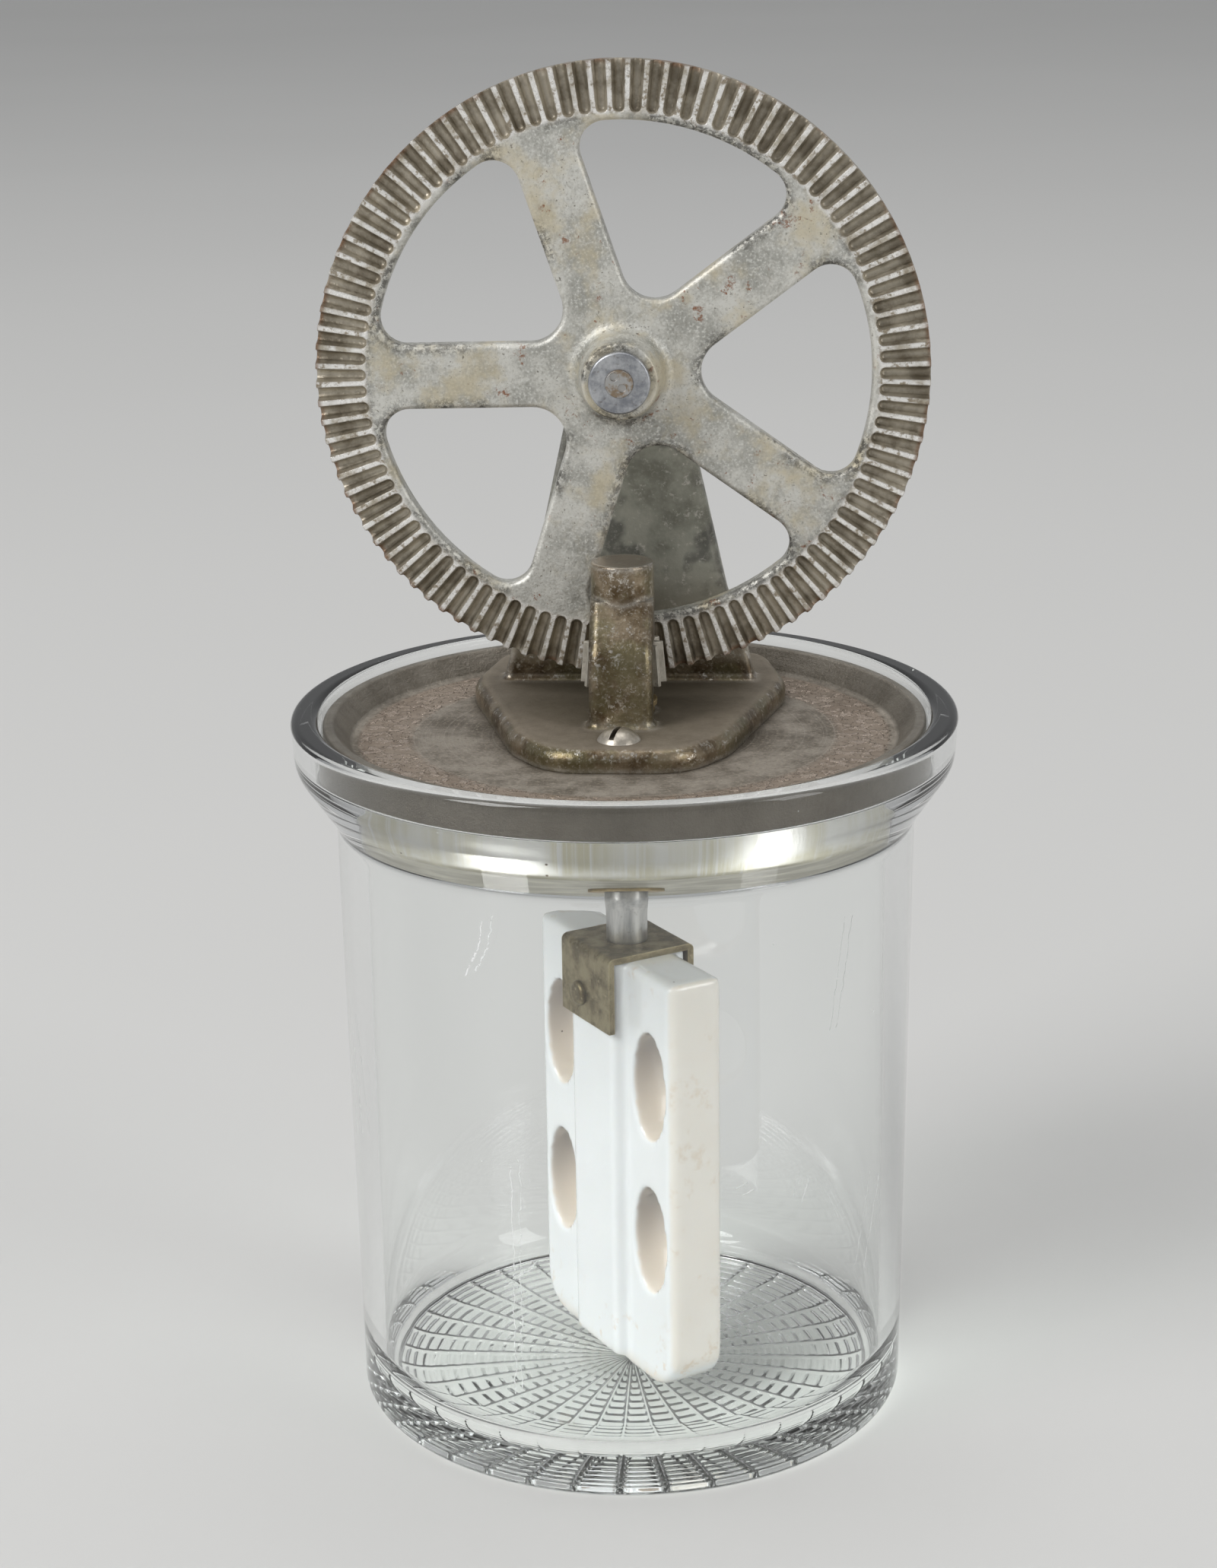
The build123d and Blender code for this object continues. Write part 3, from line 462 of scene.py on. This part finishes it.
def axle_steel():
    """The axle: grey steel, with a brown tone on its riveted end: stain in patches, and painted shade in the
    two stake marks.
    """
    f = Finish("axle_steel")
    cloud = f.noise(2.5 * MM, 5, 0.7)
    colour = f.mix(cloud, (0.34, 0.34, 0.34), (0.62, 0.61, 0.585))
    end = f.ramp(f.y, WASHER_FRONT - 0.1 * MM, WASHER_FRONT + 0.2 * MM, 1.0, 0.0)
    # Brown on the riveted end: stain in patches, with painted shade in the stake marks.
    stain_and_shade = f.both(end, f.either(f.hollows(1.4 * MM, 0.5, 0.98), f.ramp(cloud, 0.42, 0.58)))
    colour = f.mix(f.both(stain_and_shade, 0.85), colour, (0.26, 0.18, 0.105))
    rough = f.level(cloud, 0.28, 0.5)
    normal = f.bump(f.noise(0.7 * MM, 3, 0.6), 0.05 * MM, 0.6, f.bevel(0.25 * MM))
    return f.done(Base_Color=colour, Roughness=rough, Metallic=0.9, Normal=normal)


def tarnished_brass():
    """The saddle and its rivet: dull brown brass, brighter on its edges."""
    f = Finish("tarnished_brass")
    cloud = f.noise(5 * MM, 5, 0.65)
    grain = f.noise(0.8 * MM, 4, 0.7)
    colour = f.mix(f.ramp(cloud, 0.35, 0.65), (0.13, 0.10, 0.05), (0.33, 0.28, 0.17))
    colour = f.mix(f.ramp(grain, 0.55, 0.72), colour, (0.42, 0.36, 0.24))
    worn = f.edges(0.6 * MM, 0.03, 0.25)
    colour = f.mix(f.both(worn, 0.7), colour, (0.52, 0.45, 0.29))
    # Painted shade in corners and recesses.
    recess_shade = f.hollows(2.0 * MM, 0.35, 0.85)
    colour = f.mix(f.both(recess_shade, 0.7), colour, (0.075, 0.055, 0.03))
    rough = f.level(grain, 0.34, 0.56)
    normal = f.bump(f.math("ADD", grain, cloud), 0.08 * MM, 0.7, f.bevel(0.25 * MM))
    return f.done(Base_Color=colour, Roughness=rough, Metallic=0.8, Normal=normal)


def porcelain():
    """Glazed white, cream on the ends, with brown stains low down, and oval holes painted with light and
    shade: grey-brown shade at the top, warm cream light at the bottom.
    """
    f = Finish("porcelain")
    turn = f.add("ShaderNodeVectorRotate", rotation_type="Z_AXIS")
    f.join(f.place, turn.inputs["Vector"])
    turn.inputs["Angle"].default_value = -PADDLE_ANGLE
    split = f.add("ShaderNodeSeparateXYZ")
    f.join(turn.outputs[0], split.inputs[0])
    across, _, up = split.outputs

    white = f.mix(f.noise(18 * MM, 3, 0.5), (0.86, 0.88, 0.90), (0.91, 0.92, 0.93))
    side = f.math("ABSOLUTE", across)
    end = f.ramp(side, PADDLE_HALF_W - 1.6 * MM, PADDLE_HALF_W - 0.3 * MM)
    cream = f.mix(f.noise(9 * MM, 4, 0.6, shift=2.0), (0.86, 0.80, 0.72), (0.93, 0.89, 0.83))
    colour = f.mix(f.both(end, 0.95), white, cream)

    for rise in HOLE_RISE:
        away = f.math("SUBTRACT", up, PADDLE_LOW.z + rise)
        dx = f.math("DIVIDE", f.math("SUBTRACT", side, HOLE_X), HOLE_W / 2)
        dz = f.math("DIVIDE", away, HOLE_H / 2)
        reach = f.math("ADD", f.both(dx, dx), f.both(dz, dz))
        ring = f.ramp(reach, 0.98, 1.12, 1.0, 0.0)
        # Painted light and shade on each hole's wall: grey-brown shade at the top, warm cream light at the
        # bottom.
        hole_light_and_shade = f.mix(f.ramp(dz, -0.7, 0.9), (0.94, 0.83, 0.71), (0.50, 0.44, 0.40))
        colour = f.mix(f.both(ring, 0.85), colour, hole_light_and_shade)

    blots = f.ramp(f.noise(7 * MM, 5, 0.75, shift=6.0), 0.54, 0.68)
    low = f.ramp(up, PADDLE_LOW.z, PADDLE_LOW.z + 22 * MM, 1.0, 0.0)
    high = f.ramp(up, PADDLE_HIGH.z - 16 * MM, PADDLE_HIGH.z, 0.0, 0.45)
    stain = f.both(blots, f.either(low, high, f.both(end, 0.35)))
    foot = f.ramp(up, PADDLE_LOW.z + 1 * MM, PADDLE_LOW.z + 5 * MM, 1.0, 0.0)
    edge_stain = f.both(foot, f.noise(4 * MM, 4, 0.7))
    colour = f.mix(f.both(f.either(stain, f.both(edge_stain, 0.7)), 0.75), colour, (0.62, 0.43, 0.23))
    crackle = f.specks(9 * MM, 0.3 * MM, 0.35)
    colour = f.mix(f.both(crackle, 0.8), colour, (0.12, 0.09, 0.07))

    normal = f.bump(f.noise(6 * MM, 3, 0.5), 0.12 * MM, 0.5)
    f.shader.inputs["Subsurface Weight"].default_value = 0.08
    f.shader.inputs["Subsurface Radius"].default_value = (1.0, 0.8, 0.6)
    f.shader.inputs["Subsurface Scale"].default_value = 1.5 * MM
    return f.done(Base_Color=colour, Roughness=f.level(stain, 0.14, 0.4), Coat_Weight=0.6, Normal=normal)


def scratch(f, around, z, start, end, width):
    """A straight mark on the jar between two (distance round the glass, height) points."""
    run = (end[0] - start[0], end[1] - start[1])
    length = math.hypot(*run)
    ux, uz = run[0] / length, run[1] / length
    da = f.math("SUBTRACT", around, start[0])
    dz = f.math("SUBTRACT", z, start[1])
    along = f.math("ADD", f.both(da, ux), f.both(dz, uz))
    off = f.math("ABSOLUTE", f.math("SUBTRACT", f.both(da, uz), f.both(dz, ux)))
    within = f.both(f.ramp(along, 0.0, 0.4 * MM), f.ramp(along, length - 0.4 * MM, length, 1.0, 0.0))
    return f.both(f.ramp(off, 0.4 * width, width, 1.0, 0.0), within)


def clear_glass():
    """Pressed clear glass with fine scratches, a few specks, and small waves in its walls."""
    f = Finish("clear_glass")
    angle = f.math("ARCTAN2", f.x, f.math("MULTIPLY", f.y, -1.0))
    around = f.math("MULTIPLY", angle, JAR_R)
    marks = [
        ((-30 * MM, 113 * MM), (-27 * MM, 119 * MM), 0.22 * MM),
        ((-27 * MM, 119 * MM), (-25.5 * MM, 126 * MM), 0.16 * MM),
        ((-21.5 * MM, 22 * MM), (-21.0 * MM, 74 * MM), 0.10 * MM),
        ((-24 * MM, 46 * MM), (-17 * MM, 52 * MM), 0.12 * MM),
        ((40 * MM, 62 * MM), (42 * MM, 67 * MM), 0.18 * MM),
        ((26 * MM, 67 * MM), (29 * MM, 68 * MM), 0.16 * MM),
        ((60 * MM, 40 * MM), (66 * MM, 60 * MM), 0.12 * MM),
        ((-80 * MM, 90 * MM), (-74 * MM, 64 * MM), 0.12 * MM),
        ((120 * MM, 100 * MM), (128 * MM, 70 * MM), 0.12 * MM),
    ]
    wobble = f.both(f.math("SUBTRACT", f.noise(5 * MM, 3, 0.7), 0.5), 2.5 * MM)
    wavy = f.math("ADD", around, wobble)
    mark = f.either(*[scratch(f, wavy, f.z, *points) for points in marks])
    broken = f.ramp(f.noise(1.2 * MM, 3, 0.7, shift=2.0), 0.38, 0.5)
    dots = f.either(f.specks(7 * MM, 0.16 * MM, 0.45), f.specks(17 * MM, 0.3 * MM, 0.4))
    flaws = f.either(f.both(mark, broken), dots)
    waves = f.noise(22 * MM, 1, 0.3, stretch=(1, 1, 0.35))
    normal = f.bump(f.math("ADD", waves, f.both(flaws, 0.1)), 0.12 * MM, 0.3)
    f.shader.inputs["IOR"].default_value = 1.5
    f.done(
        Base_Color=(0.975, 0.985, 0.98),
        Roughness=f.level(flaws, 0.0, 0.5),
        Transmission_Weight=f.level(flaws, 1.0, 0.1),
        Normal=normal,
    )
    # Shadow rays pass, so what stands in the jar stays lit.
    path = f.add("ShaderNodeLightPath")
    open_air = f.add("ShaderNodeBsdfTransparent")
    open_air.inputs["Color"].default_value = (0.93, 0.95, 0.94, 1.0)
    mixer = f.add("ShaderNodeMixShader")
    f.join(path.outputs["Is Shadow Ray"], mixer.inputs[0])
    f.join(f.shader.outputs[0], mixer.inputs[1])
    f.join(open_air.outputs[0], mixer.inputs[2])
    f.join(mixer.outputs[0], f.tree.nodes["Material Output"].inputs["Surface"])
    return f.material


def turned_wood():
    """The crank's knob: dark varnished hardwood, its grain along the knob."""
    f = Finish("turned_wood")
    warp = f.noise(9 * MM, 3, 0.5, stretch=(1, 0.25, 1))
    grain = f.noise(1.1 * MM, 5, 0.65, stretch=(1, 0.07, 1))
    figure = f.math("ADD", f.both(warp, 0.5), f.both(grain, 0.5))
    colour = f.mix(figure, (0.075, 0.032, 0.014), (0.27, 0.13, 0.055))
    pores = f.ramp(f.noise(0.5 * MM, 3, 0.7, stretch=(1, 0.04, 1), shift=3.0), 0.6, 0.7)
    colour = f.mix(f.both(pores, 0.7), colour, (0.03, 0.014, 0.007))
    worn = f.both(f.edges(1.5 * MM), 0.6)
    colour = f.mix(worn, colour, (0.36, 0.20, 0.10))
    normal = f.bump(grain, 0.06 * MM, 0.5, f.bevel(0.3 * MM))
    return f.done(Base_Color=colour, Roughness=f.level(grain, 0.24, 0.42), Coat_Weight=0.35, Normal=normal)


# ---- Meshes that stand for CAD nodes ----


def softened(before, corner, after, radius):
    """Points round a corner as a circular fillet, with a close point on each straight beside it."""
    b, c, a = Vector(before), Vector(corner), Vector(after)
    back, ahead = (b - c).normalized(), (a - c).normalized()
    half = back.angle(ahead) / 2
    reach = radius / math.tan(half)
    centre = c + (back + ahead).normalized() * (radius / math.sin(half))
    start, end = c + back * reach - centre, c + ahead * reach - centre
    turn = start.angle(end)
    points = []
    for i in range(FILLET_STEPS + 1):
        t = i / FILLET_STEPS
        spoke = (start * math.sin((1 - t) * turn) + end * math.sin(t * turn)) / math.sin(turn)
        points.append(tuple(centre + spoke))
    first = tuple(c + back * (reach + GUARD))
    last = tuple(c + ahead * (reach + GUARD))
    return [first, *points, last]


def straight(start, end, steps):
    """Points strictly between start and end."""
    return [
        (start[0] + (end[0] - start[0]) * i / steps, start[1] + (end[1] - start[1]) * i / steps)
        for i in range(1, steps)
    ]


def jar_profile():
    """The glass's section from the foot's edge, up the outside, over the lip and down to the floor."""
    lip_r = RIM_R - LIP_W
    inmost = (FLOOR_RING_R, FLOOR_Z)
    corners = [
        ((0, 0), 0),
        ((JAR_R, 0), FOOT_R),
        (NECK, NECK_BEND_R),
        (SHOULDER, SHOULDER_BEND_R),
        ((RIM_R, JAR_H), RIM_EDGE_R),
        ((lip_r, JAR_H), LIP_EDGE_R),
        ((lip_r, SEAT_Z), SEAT_OUTER_R),
        ((BORE_R, SEAT_Z), SEAT_INNER_R),
        ((BORE_R, FLOOR_Z), HEEL_R),
        (inmost, 0),
    ]
    points = []
    for before, corner, after in zip(corners, corners[1:], corners[2:]):
        turned = softened(before[0], corner[0], after[0], corner[1])
        if points:
            span = math.dist(points[-1], turned[0])
            points += straight(points[-1], turned[0], 1 + int(span / LONGEST_STEP))
        points += turned
    return points + straight(points[-1], inmost, FLOOR_STEPS) + [inmost]


def underside(radius, off_ray, edge_r):
    """How far the pressed pattern cuts up into the base: rings between fine rays."""
    at_edge = min(1.0, max(0.0, (edge_r - radius) / EDGE_FADE))
    at_centre = min(1.0, radius / CENTRE_FADE)
    phase = (radius / RING_PITCH) % 1.0
    ring = RING_DEPTH * (0.5 - 0.5 * math.cos(math.tau * phase))
    ray = RAY_DEPTH * max(0.0, 1 - (off_ray * radius / RAY_WIDTH) ** 2)
    return at_edge * at_centre * max(ring, ray)


def ring_of(mesh, radius, places):
    """Vertices round the Z axis, one at each (angle, height)."""
    return [
        mesh.verts.new((radius * math.sin(angle), -radius * math.cos(angle), z)) for angle, z in places
    ]


def glass_jar():
    """The jar: one closed skin, turned about Z, with a pressed pattern under its base."""
    angles = [
        (math.radians(ray * 360.0 / RAYS + step), math.radians(abs(step)))
        for ray in range(RAYS)
        for step in RAY_STEPS
    ]
    profile = jar_profile()
    edge_r = profile[0][0]
    rows = int(edge_r / (RING_PITCH / ROWS_PER_RING))
    base = [edge_r * (1 - i / (rows + 1)) for i in range(1, rows + 1)]

    mesh = bmesh.new()
    rings = []
    for radius in reversed(base):
        places = [(angle, underside(radius, off_ray, edge_r)) for angle, off_ray in angles]
        rings.append(ring_of(mesh, radius, places))
    for radius, z in profile:
        rings.append(ring_of(mesh, radius, [(angle, z) for angle, _ in angles]))
    for low, high in zip(rings, rings[1:]):
        for i in range(len(angles)):
            j = (i + 1) % len(angles)
            mesh.faces.new((low[i], low[j], high[j], high[i]))
    for ring, z in ((rings[0], 0.0), (rings[-1], FLOOR_Z)):
        centre = mesh.verts.new((0, 0, z))
        for i in range(len(angles)):
            mesh.faces.new((centre, ring[i], ring[(i + 1) % len(angles)]))
    bmesh.ops.recalc_face_normals(mesh, faces=mesh.faces)
    jar = new_piece("jar_glass", mesh, clear_glass())
    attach(jar, "jar")
    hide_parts("glass_jar")


def new_piece(name, mesh, material):
    """A smooth-shaded object made from a bmesh, which is freed."""
    data = bpy.data.meshes.new(name)
    mesh.to_mesh(data)
    mesh.free()
    for face in data.polygons:
        face.use_smooth = True
    data.materials.append(material)
    piece = bpy.data.objects.new(name, data)
    bpy.context.scene.collection.objects.link(piece)
    return piece


def porcelain_paddle():
    """The paddle with every arris softened, as glaze leaves it."""
    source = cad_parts["porcelain_paddle"]
    piece = bpy.data.objects.new("paddle_porcelain", source.data.copy())
    bpy.context.scene.collection.objects.link(piece)
    remesh = piece.modifiers.new("even", "REMESH")
    remesh.mode = "VOXEL"
    remesh.voxel_size = VOXEL
    soften = piece.modifiers.new("soften", "SMOOTH")
    soften.factor = 0.5
    soften.iterations = 9
    bpy.context.view_layer.update()
    shaped = piece.evaluated_get(bpy.context.evaluated_depsgraph_get())
    data = bpy.data.meshes.new_from_object(shaped)
    piece.modifiers.clear()
    piece.data = data
    data.materials.clear()
    data.materials.append(porcelain())
    for face in data.polygons:
        face.use_smooth = True
    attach(piece, "dasher")
    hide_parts("porcelain_paddle")


# ---- Camera, floor and light ----


def camera():
    """The photograph's camera, which looks along +Y and down."""
    forward = Vector((math.sin(TURN) * math.cos(TILT), math.cos(TURN) * math.cos(TILT), -math.sin(TILT)))
    level = Vector((math.cos(TURN), -math.sin(TURN), 0))
    upright = level.cross(forward)
    right = level * math.cos(ROLL) + upright * math.sin(ROLL)
    up = upright * math.cos(ROLL) - level * math.sin(ROLL)
    data = bpy.data.cameras.new("camera")
    data.lens = LENS
    data.clip_start = 0.01
    data.clip_end = 50
    eye = bpy.data.objects.new("camera", data)
    facing = Matrix((right, up, -forward)).transposed().to_4x4()
    eye.matrix_world = Matrix.Translation(EYE) @ facing
    bpy.context.scene.collection.objects.link(eye)
    bpy.context.scene.camera = eye


def floor():
    """A wide pale floor."""
    mesh = bmesh.new()
    bmesh.ops.create_grid(mesh, x_segments=1, y_segments=1, size=12)
    f = Finish("studio_floor")
    tone = f.noise(0.6, 2, 0.5)
    f.done(Base_Color=f.mix(tone, (0.66, 0.655, 0.64), (0.70, 0.695, 0.68)), Roughness=0.6)
    ground = new_piece("studio_floor", mesh, f.material)


def softbox(name, place, target, size, power):
    """A white rectangular light at place that faces target; size in metres, power in watts."""
    data = bpy.data.lights.new(name, "AREA")
    data.shape = "RECTANGLE"
    data.size, data.size_y = size
    data.energy = power
    lamp = bpy.data.objects.new(name, data)
    away = Vector(place) - Vector(target)
    lamp.matrix_world = Matrix.Translation(place) @ away.to_track_quat("Z", "Y").to_matrix().to_4x4()
    bpy.context.scene.collection.objects.link(lamp)


def studio():
    """Three softboxes and a pale, even sky."""
    middle = (0, 0, 0.14)
    softbox("key_left", (-1.9, -1.6, 2.1), middle, (1.1, 2.1), 54)
    softbox("fill_right", (2.3, -1.2, 1.2), middle, (0.8, 2.1), 18)
    softbox("top", (0.2, 0.6, 3.2), middle, (2.2, 2.2), 24)
    world = bpy.data.worlds.new("studio")
    world.use_nodes = True
    sky = world.node_tree.nodes["Background"]
    sky.inputs["Color"].default_value = (0.80, 0.81, 0.82, 1)
    sky.inputs["Strength"].default_value = 0.47
    bpy.context.scene.world = world
    bpy.context.scene.view_settings.view_transform = "Standard"


# ---- The scene ----

camera()
floor()
studio()

paint(tinned_casting(), "gear_wheel")
paint(bronzed_casting(), "frame_casting")
paint(cast_lid(), "lid_disc")
paint(spun_tin(), "lid_skirt")
paint(axle_steel(), "wheel_axle")
paint(plated("washer_steel", (0.24, 0.25, 0.275), (0.55, 0.56, 0.575), 0.26, freckle=0.5), "hub_washer")
paint(plated("bare_steel", (0.30, 0.295, 0.28), (0.58, 0.57, 0.55), 0.3), "crank_arm", "crank_nut")
shaft_steel = plated("shaft_steel", (0.36, 0.36, 0.36), (0.64, 0.63, 0.61), 0.24, streak=(1, 1, 0.15))
paint(shaft_steel, "dasher_shaft")
paint(plated("pin_steel", (0.33, 0.33, 0.33), (0.6, 0.59, 0.57), 0.3), "knob_pin", "pinion_pin")
paint(plated("screw_nickel", (0.40, 0.36, 0.30), (0.68, 0.63, 0.55), 0.26), "frame_screws")
paint(plated("gear_white_metal", (0.44, 0.41, 0.35), (0.66, 0.63, 0.56), 0.42), "pinion")
paint(plated("bearing_brass", (0.34, 0.25, 0.12), (0.62, 0.48, 0.25), 0.34), "shaft_bushing")
paint(plated("washer_brass", (0.34, 0.26, 0.13), (0.58, 0.46, 0.26), 0.36), "thrust_washer", "spacer_washer")
paint(tarnished_brass(), "dasher_saddle", "saddle_rivet")
paint(turned_wood(), "crank_knob")
glass_jar()
porcelain_paddle()
